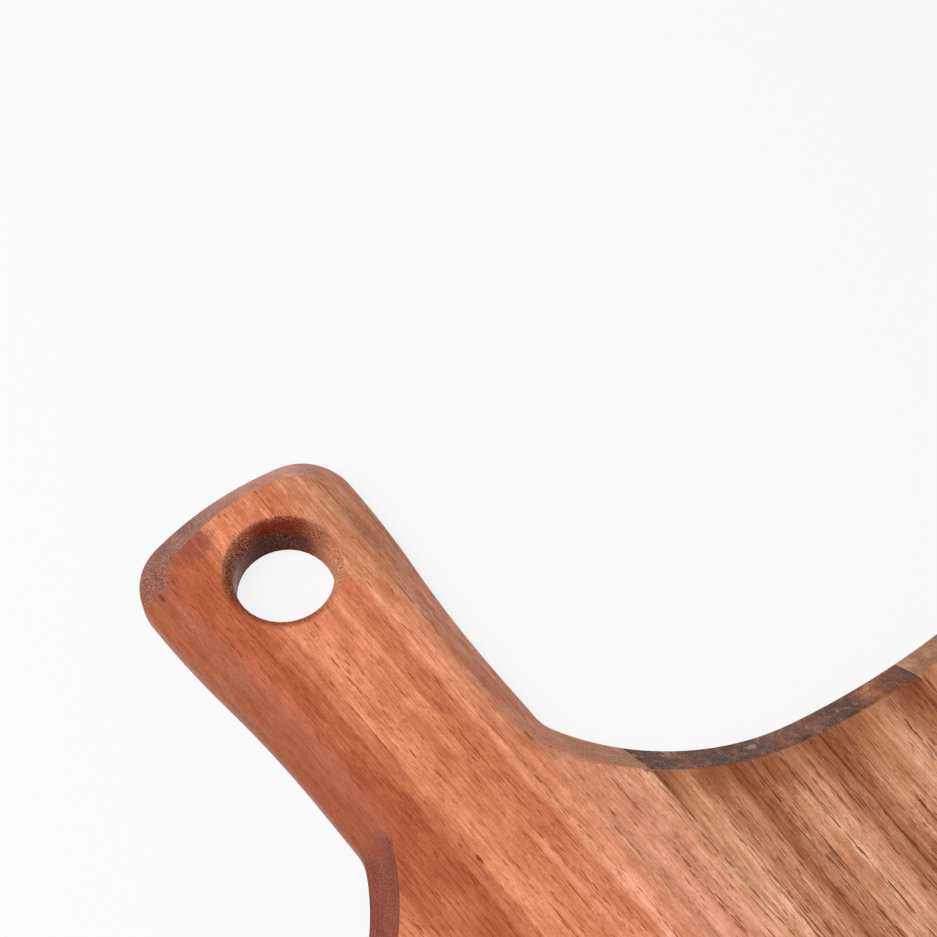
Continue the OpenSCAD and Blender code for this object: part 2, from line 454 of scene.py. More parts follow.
class Shell:
    """Grids of points gathered into one closed mesh."""

    def __init__(self):
        self.points = []
        self.quads = []
        self.smooth = []
        self.count = 0

    def add(self, grid, smooth=False):
        """Adds a grid of points, with a face between each four neighbours."""
        rows, columns = grid.shape[:2]
        index = self.count + np.arange(rows * columns).reshape(rows, columns)
        corners = [index[:-1, :-1], index[:-1, 1:], index[1:, 1:], index[1:, :-1]]
        self.quads.append(np.stack(corners, -1).reshape(-1, 4))
        self.points.append(grid.reshape(-1, 3))
        self.smooth.append(np.full((rows - 1) * (columns - 1), smooth))
        self.count += rows * columns

    def piece(self, name, hand=1):
        """Makes the object, on the right, or mirrored to the left for a hand of -1."""
        points = np.concatenate(self.points) * [hand, 1, 1]
        mesh = bpy.data.meshes.new(name)
        mesh.from_pydata(points.tolist(), [], np.concatenate(self.quads).tolist())
        mesh.polygons.foreach_set("use_smooth", np.concatenate(self.smooth))
        work = bmesh.new()
        work.from_mesh(mesh)
        bmesh.ops.remove_doubles(work, verts=work.verts, dist=MERGE)
        bmesh.ops.recalc_face_normals(work, faces=work.faces)
        open_edges = sum(not edge.is_manifold for edge in work.edges)
        work.to_mesh(mesh)
        work.free()
        if open_edges:
            raise RuntimeError(f"{name} has {open_edges} open edges")
        made = bpy.data.objects.new(name, mesh)
        bpy.context.scene.collection.objects.link(made)
        return made


# How finely the flat faces and the slices' edges are divided
FACE_ROWS = 9
SIDE_COLUMNS = 30
SHOULDER_COLUMNS = 8
GLUE_COLUMNS = 2

# The first and the last row of an edge border the top face and the underside
FACES = (0, -1)
MIRROR = np.array([-1, 1, 1])


def slice_shell(outline, x0, x1, columns):
    """A slice of the body from one distance from the centre line to another, or to the board's side for None.

    The edge is lofted along the shoulder and along the base, for the outermost slice round both corners to
    the ends of the board's side. The flat faces, the glued sides and the board's side are ruled: straight
    lines from a point of the shoulder's edge to the matching point of the base's edge.
    """
    outermost = x1 is None
    grids = []
    for run, mark in ((SHOULDER, SIDE_TOP_MARK), (BASE, SIDE_END_MARK)):
        near = outline.crossing(x0, *run)
        far = np.full_like(near, outline.marks[mark]) if outermost else outline.crossing(x1, *run)
        grid = outline.edge(np.linspace(near, far, columns, axis=1))
        grid[:, 0, 0] = x0
        if not outermost:
            grid[:, -1, 0] = x1
        grids.append(grid)
    upper, lower = grids
    shell = Shell()
    shell.add(upper, smooth=True)
    shell.add(lower, smooth=True)
    for row in FACES:
        shell.add(between(upper[row], lower[row], FACE_ROWS))
    shell.add(between(upper[:, 0], lower[:, 0], FACE_ROWS))
    shell.add(between(upper[:, -1], lower[:, -1], FACE_ROWS), smooth=outermost)
    return shell


# How far below the hole's rim the faces round the hole end, and how finely the middle stave is divided
HEAD_CLEARANCE = 5 * MM
ACROSS = 24
RING_ROWS = 6
RIM_STEPS = 8
SWEEP_COLUMNS = 12


def handle_edge(outline, x1):
    """The edge from the middle of the tip down one side of the handle to the glued side at x1."""
    turn = outline.crossing(x1, *SHOULDER)
    handle = outline.stations(0, SWEEP_MARK)
    sweep = np.linspace(np.full_like(turn, outline.marks[SWEEP_MARK]), turn, SWEEP_COLUMNS, axis=1)[:, 1:]
    grid = outline.edge(np.concatenate([np.tile(handle, (outline.rows, 1)), sweep], 1))
    grid[:, -1, 0] = x1
    return grid


def bore_wall(size, centre, spokes):
    """The hole's wall: a profile of radius and height turned about the hole's axis, along the given spokes.

    The rounded rim is an arc that starts at a circle a little off the hole's centre, so it is wider towards
    the tip. Along a spoke the mouth lies d + sqrt(R^2 - s^2 + d^2) out, for a circle of radius R that is
    moved by s, of which d lies along the spoke. The lower rim is eased by a quarter circle.
    """
    radius = size.hole_diameter / 2
    shift = np.array(size.rim_shift[:2])
    toward = spokes @ shift
    mouth = toward + np.sqrt((radius + size.rim_radius) ** 2 - shift @ shift + toward**2)
    rim = (mouth - radius) / (1 - math.sin(size.rim_break))
    a = np.linspace(size.rim_break, math.pi / 2, RIM_STEPS + 1)[:, None]
    b = np.linspace(0, math.pi / 2, EASE_STEPS + 1)[:, None] + 0 * toward
    reach = np.concatenate([radius + rim * (1 - np.sin(a)), radius + size.hole_ease * (1 - np.cos(b))])
    drop = rim * (math.cos(size.rim_break) - np.cos(a))
    height = np.concatenate([size.thickness - drop, size.hole_ease * (1 - np.sin(b))])
    return np.concatenate([centre + reach[..., None] * spokes, height[..., None]], -1)


def middle_shell(outline, left_outline, x1):
    """The middle stave with its handle and hole.

    The edge is lofted from the left glued side round the handle to the right one, and along the base. The
    flat faces are ruled between the left and the right edge, and round the hole from its rim to the edge.
    """
    size = outline.size
    right = handle_edge(outline, x1)
    left = handle_edge(left_outline, x1) * MIRROR
    corner = outline.edge(outline.crossing(x1, *BASE)[:, None])[:, 0]
    corner[:, 0] = x1
    base = np.swapaxes(between(corner * MIRROR, corner, ACROSS), 0, 1)
    shell = Shell()
    shell.add(np.concatenate([left[:, :0:-1], right], 1), smooth=True)
    shell.add(base, smooth=True)
    shell.add(between(right[:, -1], corner, FACE_ROWS))
    shell.add(between(left[:, -1], corner * MIRROR, FACE_ROWS))

    centre = np.array([size.hole_offset, size.tip_y - size.hole_from_tip])
    limit = centre[1] - size.hole_diameter / 2 - size.rim_radius - HEAD_CLEARANCE
    cut = int(np.argmax(right[0, :, 1] < limit))
    loops = []
    for row in FACES:
        lines = between(left[row, cut:], right[row, cut:], ACROSS)
        shell.add(lines)
        shell.add(between(lines[:, -1], base[row], FACE_ROWS))
        loops.append(np.concatenate([left[row, cut:0:-1], right[row, : cut + 1], lines[::-1, 0][1:]]))
    spokes = loops[0][:, :2] - centre
    wall = bore_wall(size, centre, spokes / np.linalg.norm(spokes, axis=1)[:, None])
    shell.add(wall, smooth=True)
    for row, loop in zip(FACES, loops):
        shell.add(between(wall[row], loop, RING_ROWS))
    return shell


# Shader nodes

# How strongly a change of light acts on red, green and blue, and how a seed moves a noise along X, Y and Z
WOOD_PULL = (1.0, 1.5, 2.1)
SEED_MOVE = (1.0, 1.7, 0.6)
NOISE_MEAN = 0.5
NOISE_DETAIL = 2.0

# How strong the faintest dash is, and how far above it the others lie
FAINTEST = 0.4
FAINT_RANGE = 0.55

# The colour sockets of a Mix node
MIX_FIRST = 6
MIX_SECOND = 7
MIX_RESULT = 2


def operation(name, reflected=False):
    """An operator that adds a Math node on a wire and a value, or on the value and the wire."""

    def operate(wire, other=0.0):
        return wire.math(name, other, wire) if reflected else wire.math(name, wire, other)

    return operate


class Wire:
    """One output socket of a material's nodes, on which arithmetic adds Math nodes."""

    def __init__(self, tree, socket=None):
        self.tree = tree
        self.socket = socket

    def make(self, kind, settings=None, inputs=None, output=0):
        """Adds a node of this type: first its settings, then the values or links of its sockets."""
        node = self.tree.nodes.new(kind)
        for key, value in (settings or {}).items():
            if key == "stops":
                fill_ramp(node.color_ramp, value)
            else:
                setattr(node, key, value)
        for key, value in (inputs or {}).items():
            if isinstance(value, Wire):
                self.tree.links.new(value.socket, node.inputs[key])
            else:
                node.inputs[key].default_value = value
        return Wire(self.tree, node.outputs[output] if node.outputs else None)

    def also(self, output):
        """Another output of the same node."""
        return Wire(self.tree, self.socket.node.outputs[output])

    def math(self, name, first, second):
        """A Math node on these two values."""
        return self.make("ShaderNodeMath", {"operation": name}, {0: first, 1: second})

    __add__ = operation("ADD")
    __radd__ = operation("ADD", reflected=True)
    __sub__ = operation("SUBTRACT")
    __rsub__ = operation("SUBTRACT", reflected=True)
    __mul__ = operation("MULTIPLY")
    __rmul__ = operation("MULTIPLY", reflected=True)
    __truediv__ = operation("DIVIDE")
    __abs__ = operation("ABSOLUTE")

    def step(self, low, high):
        """0 at low and 1 at high, with a smooth step between them."""
        inputs = {"Value": self, "From Min": low, "From Max": high}
        return self.make("ShaderNodeMapRange", {"interpolation_type": "SMOOTHSTEP"}, inputs)

    def vector(self, name, *inputs):
        """A Vector Math node on these inputs."""
        return self.make("ShaderNodeVectorMath", {"operation": name}, dict(enumerate(inputs)))

    def cells(self, size, seed):
        """This place counted in cells of the given size in millimetres along X, Y and Z."""
        scale = [1 / (s * MM) for s in size]
        return self.vector("MULTIPLY_ADD", self, scale, [seed * move for move in SEED_MOVE])

    def noise(self, size, seed, detail=NOISE_DETAIL):
        """Noise about zero on this place, drawn out to cells of the given size."""
        inputs = {"Vector": self.cells(size, seed), "Scale": 1.0, "Detail": detail}
        return self.make("ShaderNodeTexNoise", {"noise_dimensions": "3D"}, inputs) - NOISE_MEAN

    def dashes(self, place, size, seed, soft):
        """How deep a place lies in strewn dashes of this girth, some fainter than others.

        A dash surrounds one point strewn in each cell of the given size, out to the girth, counted in cells.
        """
        strewn = place.make("ShaderNodeTexVoronoi", inputs={"Vector": place.cells(size, seed), "Scale": 1.0})
        faint = strewn.make("ShaderNodeSeparateColor", inputs={0: strewn.also("Color")})
        return (self - strewn).step(0.0, soft) * (FAINTEST + faint * FAINT_RANGE)

    def blend(self, first, second):
        """Mixes two colours, with this value as the factor."""
        settings = {"data_type": "RGBA", "clamp_factor": True}
        inputs = {0: self, MIX_FIRST: first, MIX_SECOND: second}
        return self.make("ShaderNodeMix", settings, inputs, MIX_RESULT)

    def tint(self, colour):
        """A colour made lighter or darker by this value about zero, most in blue and least in red.

        Each channel is multiplied by (p^2 + 1) / 2, where p is 1 plus the pulled value, so by a half or more.
        """
        ones = (1.0, 1.0, 1.0)
        halves = (0.5, 0.5, 0.5)
        pull = self.vector("MAXIMUM", self.vector("MULTIPLY_ADD", self, WOOD_PULL, ones), (0.0, 0.0, 0.0))
        curve = self.vector("MULTIPLY_ADD", pull, pull, ones)
        return self.vector("MULTIPLY", colour, self.vector("MULTIPLY", curve, halves))


def fill_ramp(ramp, stops):
    """Gives a colour ramp its stops, each a place and a colour with alpha."""
    ramp.interpolation = "LINEAR"
    while len(ramp.elements) < len(stops):
        ramp.elements.new(1.0)
    for element, (place, colour) in zip(ramp.elements, stops):
        element.position = place
        element.color = colour


def start_material(name):
    """A new material with an empty node tree, as a wire to make nodes from."""
    material = bpy.data.materials.new(name)
    material.use_nodes = True
    material.node_tree.nodes.clear()
    return material, Wire(material.node_tree)


def opaque(colour):
    """A colour property as a node's colour."""
    return (*colour, 1.0)


def oiled(start, colour, rough, height, strength, finish):
    """Joins a colour, a roughness and a relief of the given strength in a material's surface."""
    relief = {"Strength": strength, "Distance": finish.pore_depth, "Height": height}
    sockets = {
        "Base Color": colour,
        "Roughness": rough,
        "Normal": start.make("ShaderNodeBump", inputs=relief),
        "Specular IOR Level": finish.specular,
    }
    shader = start.make("ShaderNodeBsdfPrincipled", inputs=sockets)
    start.make("ShaderNodeOutputMaterial", inputs={"Surface": shader})


# Wood

# Each table goes across a stave, in millimetres from the centre line: place, tone, and share of pores in the
# long grain or of pale flecks in the end grain.

MIDDLE_GRAIN = (
    (-39.5, "salmon", 0.3), (-31.5, "salmon", 0.3), (-27.0, "brick", 0.4), (-12.3, "brick", 0.6),
    (-10.6, "russet", 0.5), (-8.2, "russet", 0.6), (-7.8, "peach", 0.2), (-3.0, "peach", 0.5),
    (0.0, "peach", 0.3), (0.3, "salmon", 0.5), (5.8, "salmon", 0.6), (6.2, "peach", 0.4), (7.9, "peach", 0.4),
    (8.2, "russet", 0.6), (13.8, "russet", 0.6), (14.8, "blush", 0.4), (15.3, "shell", 0.2),
    (16.2, "shell", 0.2), (17.0, "blush", 0.3), (21.8, "blush", 0.4), (22.2, "tan", 0.6), (25.8, "tan", 0.6),
    (26.6, "petal", 0.3), (29.2, "petal", 0.4), (30.0, "tan", 0.6), (33.6, "tan", 0.6), (34.4, "petal", 0.4),
    (39.5, "honey", 0.6),
)
MIDDLE_END = (
    (-39.5, "mauve", 0.1), (-20.0, "mauve", 0.2), (0.0, "rose", 0.3), (20.0, "rose", 0.3),
    (31.0, "fawn", 0.2), (39.5, "fawn", 0.2),
)
TIP_END = (
    (-39.5, "ash", 0.9), (-9.0, "ash", 0.8), (6.0, "rose", 0.3), (39.5, "rose", 0.3),
)
SIDE_GRAIN = (
    (39.7, "bark", 0.9), (40.6, "nut", 0.6), (42.0, "nut", 0.6), (44.8, "honey", 0.6), (46.8, "nut", 0.7),
    (49.5, "bark", 0.6), (51.5, "nut", 0.6), (52.5, "nut", 0.5), (54.5, "cocoa", 0.5), (56.0, "cocoa", 0.6),
    (58.0, "bark", 0.8), (62.5, "nut", 0.8), (64.5, "nut", 0.8), (67.0, "honey", 0.6), (72.0, "nut", 0.6),
    (74.5, "bark", 0.8), (77.0, "bark", 0.7), (80.0, "cocoa", 1.0), (81.6, "bark", 0.7), (83.6, "nut", 0.6),
    (90.0, "nut", 0.6), (93.5, "honey", 0.4), (96.5, "honey", 0.6), (101.5, "bark", 0.9),
    (104.5, "cocoa", 1.0), (108.9, "bark", 0.9),
)
SIDE_END = (
    (39.7, "slate", 0.2), (44.0, "slate", 0.3), (48.0, "rust", 0.3), (52.0, "slate", 0.3),
    (67.0, "slate", 0.2), (71.0, "rust", 0.2), (75.5, "slate", 0.3), (78.5, "ash", 0.3), (83.5, "slate", 0.3),
    (91.0, "slate", 0.2), (98.0, "cocoa", 0.2), (103.0, "rust", 0.2), (108.9, "rust", 0.2),
)
OUTER_GRAIN = (
    (109.1, "nut", 0.6), (114.0, "honey", 0.5), (121.0, "nut", 0.6), (127.0, "bark", 0.8),
    (133.0, "nut", 0.5), (141.0, "honey", 0.6), (150.0, "nut", 0.6),
)
OUTER_END = (
    (109.1, "fawn", 0.2), (122.0, "fawn", 0.2), (130.0, "rust", 0.2), (150.0, "fawn", 0.2),
)

# Spots on the middle stave and on a side stave: place and half sizes in millimetres, strength and tone

STAINS = (
    (-15.0, 240.5, 11.0, 6.0, 0.85, "blood"), (-25.0, 235.0, 5.0, 7.0, 0.6, "blood"),
    (24.0, 225.0, 12.0, 36.0, 0.6, "nut"), (11.0, 84.0, 6.0, 36.0, 0.5, "shell"),
    (16.0, 85.0, 1.1, 45.0, 0.8, "cream"), (21.0, 85.0, 1.2, 40.0, 0.7, "petal"),
    (4.8, 100.0, 2.4, 30.0, 0.5, "russet"), (7.0, 241.5, 7.0, 6.0, 0.6, "russet"),
    (-8.0, 199.0, 3.5, 9.0, 0.4, "russet"), (-22.0, 119.0, 8.0, 10.0, 0.5, "russet"),
)
SIDE_STAINS = (
    (64.0, 98.0, 4.0, 9.0, 0.7, "cocoa"), (50.0, 106.5, 4.5, 6.0, 0.6, "cocoa"),
    (69.5, 90.0, 2.0, 9.0, 0.6, "honey"), (103.0, 84.0, 3.0, 7.0, 0.5, "nut"),
)
FLECKS = (
    (-7.8, 125.6, 0.55, 1.9, 0.85, "pore"), (-27.3, 233.1, 0.6, 1.7, 0.9, "pore"),
)

# Lightening along the staves: height in millimetres and level. The side staves darken towards their
# shoulders, so their heights start from a line that follows the shoulder, which is given by a distance from
# the centre line, the height there, its slope and its curve.

MIDDLE_FADE = (
    (60.0, 0.03), (118.0, 0.0), (128.0, -0.06), (140.0, -0.11), (152.0, -0.09), (164.0, -0.06), (174.0, 0.0),
    (250.0, 0.0),
)
SIDE_FADE = (
    (-80.0, 0.15), (-22.0, 0.15), (-12.0, 0.06), (-6.0, -0.1), (-2.0, -0.2), (1.0, -0.35), (20.0, -0.35),
)
OUTER_FADE = (
    (-80.0, 0.0), (-12.0, 0.0), (-6.0, -0.08), (1.0, -0.3), (20.0, -0.3),
)
SHOULDER_LINE = (42.0, 113.0, -0.68, 0.0056)

# What sets the woods apart: how lively the long grain and the end grain are, the noises that ripple the end
# grain, how far the bands stray and the grain bends, in millimetres, how frayed the border of the end grain
# is, the tone of open pores, the sizes of pores, of long pores and of specks in the end grain, and the
# blotches in the end grain: noise, tone, strength and the level where they begin.

REDDISH = {
    "figure": 1.0,
    "end_figure": 1.0,
    "ripple": {"rings": 1.0, "cloud": 0.0},
    "stray": 0.5,
    "bend": 0.0,
    "fray": 0.3,
    "vein": "vein",
    "pore": (0.38, 4.0, 0.38),
    "line": (0.6, 22, 0.6),
    "speck": (0.27, 0.5, 0.27),
    "blotches": (("blotch", "mauve", 0.15, -0.02),),
}
BROWN = {
    "figure": 1.15,
    "end_figure": 1.3,
    "ripple": {"rings": 0.3, "cloud": 1.0},
    "stray": 1.2,
    "bend": 4.4,
    "fray": 0.5,
    "vein": "pore",
    "pore": (0.37, 5.0, 0.37),
    "line": (0.5, 16, 0.5),
    "speck": (0.36, 0.8, 0.26),
    "blotches": (
        ("blotch", "rust", 0.45, 0.0),
        ("dapple", "ash", 0.35, 0.02),
        ("drift", "fawn", 0.3, 0.06),
    ),
}
FAIR = {**BROWN, "end_figure": 1.0, "blotches": (("blotch", "slate", 0.3, -0.2),)}

# Sizes of the noises in the wood, in millimetres across, along and through the stave. A noise's place in this
# list sets its seed.

NOISES = {
    "wander": (30, 110, 30),
    "waver": (5, 26, 5),
    "broad": (2.4, 70, 4),
    "fine": (0.8, 26, 1),
    "hair": (0.34, 9, 0.4),
    "grit": (0.35, 1.0, 0.35),
    "patch": (4, 13, 5),
    "cloud": (1.6, 4, 1.6),
    "track": (0.8, 200, 0.9),
    "crowd": (4, 30, 4),
    "rings": (9, 20, 0.45),
    "mottle": (5, 30, 4),
    "blotch": (4, 25, 3),
    "dapple": (3, 20, 3),
    "drift": (5, 30, 3.5),
}
NOISE_SEED_STEP = 2
PORE_SEED = 15
LINE_SEED = 16
SPECK_SEED = 19
SPECK_DETAIL = 1.0

# Noises that act together, each with its part: how far the grain wanders and its bands stray, in
# millimetres, how ragged a fade is, in millimetres, how light the long and the end grain are, how the pores
# crowd, how the borders of the end grain and of a spot fray, how high the fibres stand, how light the wood
# in the hole is and where it is golden.

WANDER = {"wander": 2.0, "waver": 0.7}
STRAY = {"fine": 1.6, "patch": 2.4}
RAGGED = {"patch": 8.0, "cloud": 5.0}
LIGHT = {"broad": 0.4, "fine": 0.6, "hair": 0.7, "grit": 0.5, "patch": 0.5, "cloud": 0.4}
END_LIGHT = {"mottle": 1.0, "specks": 1.2}
CROWD = {"track": 1.6, "crowd": 0.4}
FRAY = {"fine": 1.0, "grit": 1.0, "patch": 1.0}
SPOT_FRAY = {"grit": 1.0, "patch": 1.0}
RELIEF = {"hair": 0.3, "grit": 0.2}
BORE_LIGHT = {"specks": 2.0, "grit": 1.4}
GOLDEN = {"patch": 1.0, "cloud": 1.0}

# Smooth steps, each from where it is 0 to where it is 1

BEND = (30 * MM, 150 * MM)
TIP = (170 * MM, 200 * MM)
SOAK = (0.0, 0.6)
BRIGHT = (0.05, 0.14)
DARK = (-0.02, -0.1)
END_SLOPE = (0.02, 0.1)
END_FACING = (0.02, 0.4)
SPOT = (1.2, 0.1)

# Single parts in the long grain, the end grain and the finish. A fade is kept in a ramp's alpha, raised by
# its shift.

BEND_MIDDLE = 0.5
FADE_SHIFT = 0.5
SOAK_FRAY = 0.4
PORE_GIRTH = 0.32
LINE_THIN = 0.1
PORE_SOFT = 0.07
END_RIPPLE = 0.8
BLOTCH_RIPPLE = 0.6
BLOTCH_SOFT = 0.16
GLINT = 0.65
SLOPE_FRAY = 0.1
ROUGH_GRIT = 0.2
ROUGH_PORES = 0.2
SPECK_RELIEF = 1.2

# Round the hole, smooth steps on distances counted in its radius. Where a step has "out" in its name, the
# distance is squared, and "deep" is a height.

BORE_STEPS = {
    "out_inside": (2.1, 1.8), "out_spill": (1.95, 1.5), "out_torn": (1.85, 1.5), "out_halo": (1.6, 1.3),
    "oil_and_shade": (0.1, 0.6), "shaded": (0.0, 0.4), "aside": (0.05, 0.4), "deep": (10.5 * MM, 7 * MM),
    "golden": (-0.1, 0.2), "gold_left": (0.8, -0.2), "lit_rim": (-0.2, 0.5), "halo_left": (0.7, -0.2),
    "sloping": (0.01, 0.1), "right": (0.4, 0.9),
}
BORE_PARTS = {
    "oil_and_shade_lean": 0.2, "oil_and_shade_fray": 0.6, "shaded_lean": 0.15, "soak_x": 0.5, "soak_y": 0.87, "gold": 0.5,
    "aside": 0.45, "dark": 0.8, "pale": 0.43, "pale_bright": 0.15, "deep": 0.85, "spill": 0.7, "halo": 0.9,
    "right": 0.3,
}
PALE_FROM = 0.5


class Wood:
    """Oiled hardwood with its grain along Y, worked out in three dimensions.

    Bands of tone cross the stave, bent by slow noise. Streaks are noise drawn out along Y, and pores are
    dashes strewn along Y that crowd on tracks. End grain takes its own bands where the surface faces along
    Y. Each step lays its tone over the colour so far.
    """

    def __init__(self, name, kind, seed, tones, finish):
        self.kind = kind
        self.seed = seed
        self.tones = tones
        self.finish = finish
        self.material, self.start = start_material(name)
        texture = self.start.make("ShaderNodeTexCoord", output="Object")
        place = texture.make("ShaderNodeSeparateXYZ", inputs={0: texture})
        normal = texture.make("ShaderNodeSeparateXYZ", inputs={0: texture.also("Normal")})
        self.x, self.y, self.z = place, place.also("Y"), place.also("Z")
        self.nx, self.ny, self.nz = normal, normal.also("Y"), normal.also("Z")
        self.made = {}
        self.along = texture
        bend = (self.y.step(*BEND) - BEND_MIDDLE) * (kind["bend"] * MM)
        self.across = self.x + self.mix(WANDER) * MM - bend
        parts = {"X": self.across, "Y": self.y, "Z": self.z}
        self.along = texture.make("ShaderNodeCombineXYZ", inputs=parts)
        self.specks = self.along.noise(kind["speck"], seed + SPECK_SEED, SPECK_DETAIL)
        self.made["specks"] = self.specks
        self.bright = self.specks.step(*BRIGHT)
        self.bore_share = None

    def noise(self, key):
        """One of the named noises, made once, with a place of its own in the stave's noise."""
        if key not in self.made:
            seed = self.seed + NOISE_SEED_STEP * list(NOISES).index(key)
            self.made[key] = self.along.noise(NOISES[key], seed)
        return self.made[key]

    def mix(self, parts):
        """The sum of named noises, each times its part."""
        first, *rest = (self.noise(key) * part for key, part in parts.items())
        return sum(rest, first)

    def tone(self, key):
        """One of the named tones."""
        return opaque(getattr(self.tones, key))

    def lit(self, key):
        """One of the named tones, as light or dark as the long grain is there."""
        return self.light.tint(self.tone(key)[:3])

    def lay(self, part, colour):
        """Lays a colour over the colour so far."""
        self.colour = part.blend(self.colour, colour)

    @staticmethod
    def ramp(place, table):
        """Colour and alpha at a place from rows of place, colour and alpha."""
        low, high = table[0][0], table[-1][0]
        reach = (place - low) / (high - low)
        stops = [((at - low) / (high - low), (*colour, alpha)) for at, colour, alpha in table]
        return reach.make("ShaderNodeValToRGB", {"stops": stops}, {0: reach})

    def bands(self, table):
        """Tone across the stave from a table, with the table's shares as alpha."""
        stray = self.mix(STRAY) * (self.kind["stray"] * MM)
        rows = [(x * MM, self.tone(key)[:3], part) for x, key, part in table]
        return self.ramp(self.across + stray, rows)

    def fade(self, table, line=(0.0, 0.0, 0.0, 0.0)):
        """Lightening along the stave from a table of heights above a line."""
        start, height, slope, curve = line
        out = abs(self.x) / MM - start
        up = self.y / MM - (height + out * (slope + out * curve)) + self.mix(RAGGED)
        rows = [(y, (0.0, 0.0, 0.0), light + FADE_SHIFT) for y, light in table]
        return self.ramp(up, rows).also("Alpha") - FADE_SHIFT

    def lay_long_grain(self, table, fade, spots=(), edges=()):
        """Banded and streaked long grain, stained and pored. An edge is a tone, a side and a strength."""
        bands = self.bands(table)
        self.light = self.mix(LIGHT) * self.kind["figure"] + fade
        self.colour = self.light.tint(bands)
        for key, side, strength in edges:
            soaked = (self.nx * side + self.noise("fine") * SOAK_FRAY).step(*SOAK)
            self.lay(soaked * strength, self.lit(key))
        self.stain(spots)
        girth = bands.also("Alpha") * PORE_GIRTH + self.mix(CROWD)
        pores = girth.dashes(self.along, self.kind["pore"], self.seed + PORE_SEED, PORE_SOFT)
        lines = (girth - LINE_THIN).dashes(self.along, self.kind["line"], self.seed + LINE_SEED, PORE_SOFT)
        self.pores = pores.math("MAXIMUM", pores, lines)
        self.lay(self.pores, self.tone(self.kind["vein"]))

    def lay_end_grain(self, table, tip=None):
        """Mottled end grain with pale flecks of fibre. The handle's tip has a table of its own."""
        ends = self.bands(table)
        flecked = ends.also("Alpha")
        if tip:
            near = self.y.step(*TIP)
            tips = self.bands(tip)
            flecked = flecked + near * (tips.also("Alpha") - flecked)
            ends = near.blend(ends, tips)
        ripple = self.mix(self.kind["ripple"])
        light = ripple * END_RIPPLE + self.mix(END_LIGHT)
        for noise, key, strength, begin in self.kind["blotches"]:
            blotch = (self.noise(noise) + ripple * BLOTCH_RIPPLE).step(begin, begin + BLOTCH_SOFT)
            ends = (blotch * strength).blend(ends, self.tone(key))
        ends = (light * self.kind["end_figure"]).tint(ends)
        ends = (self.bright * flecked * GLINT).blend(ends, self.tone("glint"))
        facing = abs(self.ny) - self.nx * self.finish.grain_lean
        fray = self.mix(FRAY) * self.kind["fray"]
        slope = (1 - self.nz + fray * SLOPE_FRAY).step(*END_SLOPE)
        self.end_share = (facing + fray).step(*END_FACING) * slope
        self.lay(self.end_share, ends)

    def lay_bore(self, x, y, radius):
        """Wood round the hole, partly oil-soaked: dark towards the tip with painted shade, greyer on the left
        wall and paler on the rim's right with painted light.
        """
        steps, parts = BORE_STEPS, BORE_PARTS
        dx = (self.x - x) / radius
        dy = (self.y - y) / radius
        out = dx * dx + dy * dy
        inside = out.step(*steps["out_inside"])
        # The far side of the hole, towards the tip: partly oil-soaked wood and partly painted shade.
        oil_and_shade = (dy + dx * parts["oil_and_shade_lean"] + self.specks * parts["oil_and_shade_fray"]).step(*steps["oil_and_shade"])
        shaded = (dy - dx * parts["shaded_lean"]).step(*steps["shaded"])
        soaked = dx * parts["soak_x"] + dy * parts["soak_y"]
        aside = (1 - soaked * soaked / out).step(*steps["aside"]) * oil_and_shade
        # Painted light and shade across the rim: the darker madder tone on the left and the paler worn tone
        # on the right, which faces the lamp.
        lit_rim = dx.step(*steps["lit_rim"]).blend(self.tone("madder"), self.tone("worn"))
        # The far side takes the umber tone, which is oil-soaked end grain and painted shade together.
        colour = oil_and_shade.blend(lit_rim, self.tone("umber_shade"))
        gold = self.bright * self.mix(GOLDEN).step(*steps["golden"]) * dx.step(*steps["gold_left"])
        colour = (gold * parts["gold"] + aside * parts["aside"]).blend(colour, self.tone("nut"))
        # Dark specks on the rim's far left, in the tone of the painted shade.
        dark = self.specks.step(*DARK) * aside
        colour = (dark * parts["dark"]).blend(colour, self.tone("shade_and_dark_specks"))
        # Painted light and reflection: the hole's left wall pales towards the dust tone.
        left = PALE_FROM - dx
        pale = left * left * left * parts["pale"] + self.bright * parts["pale_bright"]
        wall = pale.blend(self.tone("shade_and_dark_specks"), self.tone("dust"))
        # Painted shade: deep in the hole on its far, shaded side, the colour turns to the wall's tone, dark
        # with painted shade and pale with painted light on the left.
        deep = self.z.step(*steps["deep"]) * shaded
        colour = self.mix(BORE_LIGHT).tint((deep * parts["deep"]).blend(colour, wall))
        spill = out.step(*steps["out_spill"]) * self.bright * oil_and_shade
        self.lay(inside * spill * parts["spill"], self.tone("vein"))
        halo = out.step(*steps["out_halo"]) * (1 - oil_and_shade) * dx.step(*steps["halo_left"])
        self.lay(inside * halo * parts["halo"], self.tone("madder"))
        torn = self.specks * out.step(*steps["out_torn"]) * oil_and_shade
        plain = dx.step(*steps["right"]) * (1 - oil_and_shade) * parts["right"]
        sloping = (1 - self.nz + torn).step(*steps["sloping"]) * (1 - plain)
        self.bore_share = inside * sloping
        self.lay(self.bore_share, colour)
        self.end_share = self.end_share + inside * (sloping - self.end_share)

    def stain(self, spots):
        """Spots of another tone: place, half width and half height in millimetres, strength and tone."""
        for x, y, wide, high, strength, key in spots:
            dx = (self.x - x * MM) / (wide * MM)
            dy = (self.y - y * MM) / (high * MM)
            spot = (dx * dx + dy * dy + self.mix(SPOT_FRAY)).step(*SPOT)
            self.lay(spot * strength, self.lit(key))

